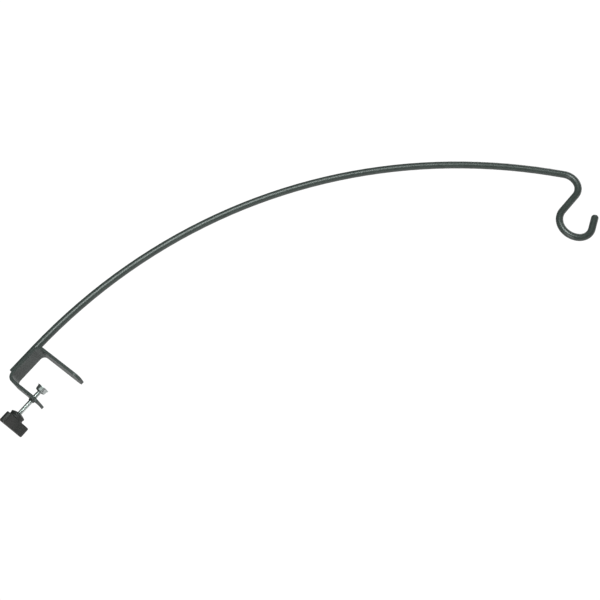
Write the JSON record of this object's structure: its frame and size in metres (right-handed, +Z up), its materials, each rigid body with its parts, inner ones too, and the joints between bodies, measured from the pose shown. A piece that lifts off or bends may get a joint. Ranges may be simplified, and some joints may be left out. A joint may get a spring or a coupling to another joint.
{
  "type": "clamp-on deck hook",
  "caption": "Screw clamp of bent strap with a long bowed arm of round bar ending in a hook for a hanging planter.",
  "frame": {"origin": "where the screw's axis meets the underside of the top jaw", "axes": "+Z up along the screw's axis, +X the way the jaws and the arm reach, +Y across the strap"},
  "size_m": [0.6229, 0.0458, 0.9356],
  "materials": {
    "powder_coat": "semi-gloss powder coat, dark green-grey",
    "zinc": "bright zinc plating",
    "knob_plastic": "moulded, fine grain, charcoal"
  },
  "bodies": {
    "frame": {"arm_rod": "powder_coat", "clamp_bracket": "powder_coat", "weld_bead_near": "powder_coat", "weld_bead_far": "powder_coat"},
    "pad": {"swivel_pad": "zinc"},
    "screw": {"clamp_screw": "zinc", "knob": "knob_plastic", "knob_cap": "knob_plastic"}
  },
  "joints": [
    {"name": "pad_slide", "type": "slide", "parent": "frame", "child": "pad", "axis": [0, 0, 1], "range_m": [-0.0102, 0.0246]},
    {"name": "screw_turn", "type": "hinge", "parent": "pad", "child": "screw", "pos_m": [0, 0, -0.0515], "axis": [0, 0, 1], "range_deg": [-2605, 6280]}
  ],
  "couplings": [
    {"joint": "screw_turn", "follows": "pad_slide", "rad_per_m": 4452.6}
  ]
}
